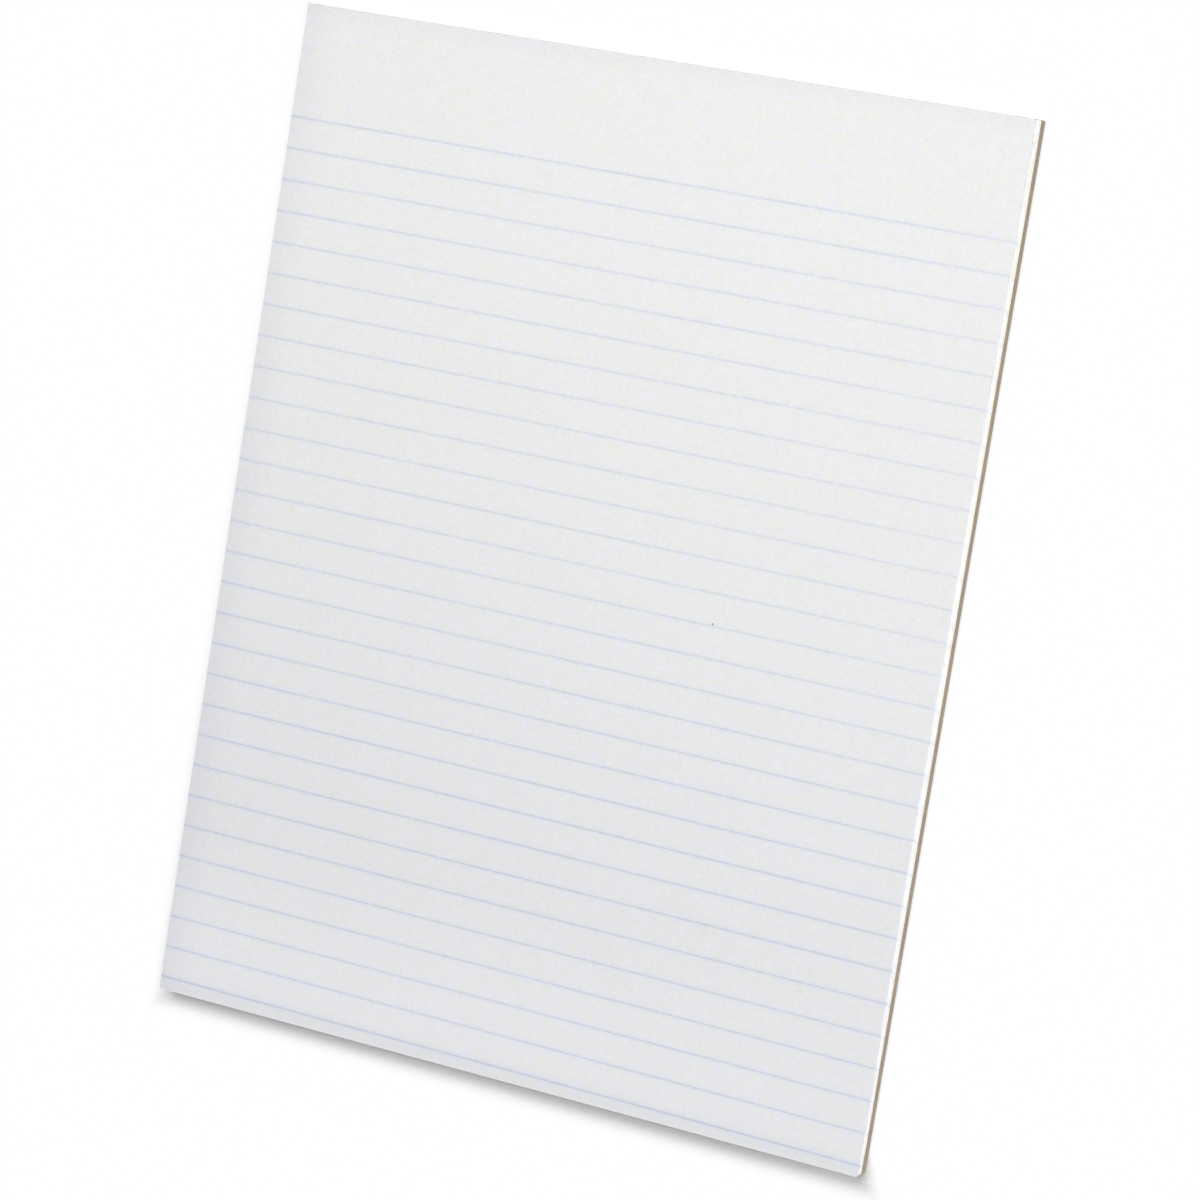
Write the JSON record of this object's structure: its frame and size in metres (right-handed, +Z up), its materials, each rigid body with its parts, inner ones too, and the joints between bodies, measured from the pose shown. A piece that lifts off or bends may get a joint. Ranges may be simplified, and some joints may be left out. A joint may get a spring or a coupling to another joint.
{
  "type": "writing pad",
  "caption": "Flat ruled writing pad: a block of white sheets glued along the head to a chipboard back, with blue lines across the top sheet.",
  "frame": {"origin": "middle of the pad's footprint, on the underside of the backing board", "axes": "+Z up through the ruled side, +Y towards the glued head, +X to the right of someone writing on it"},
  "size_m": [0.216, 0.2796, 0.0072],
  "materials": {
    "sheets": "uncoated white writing paper",
    "chipboard": "raw grey-brown chipboard",
    "glue": "dried white padding glue, satin",
    "ink": "pale blue ruling ink on paper"
  },
  "bodies": {
    "root": {"page_block": "sheets", "backing_board": "chipboard", "padding_glue": "glue", "ruled_lines": "ink"}
  },
  "joints": []
}
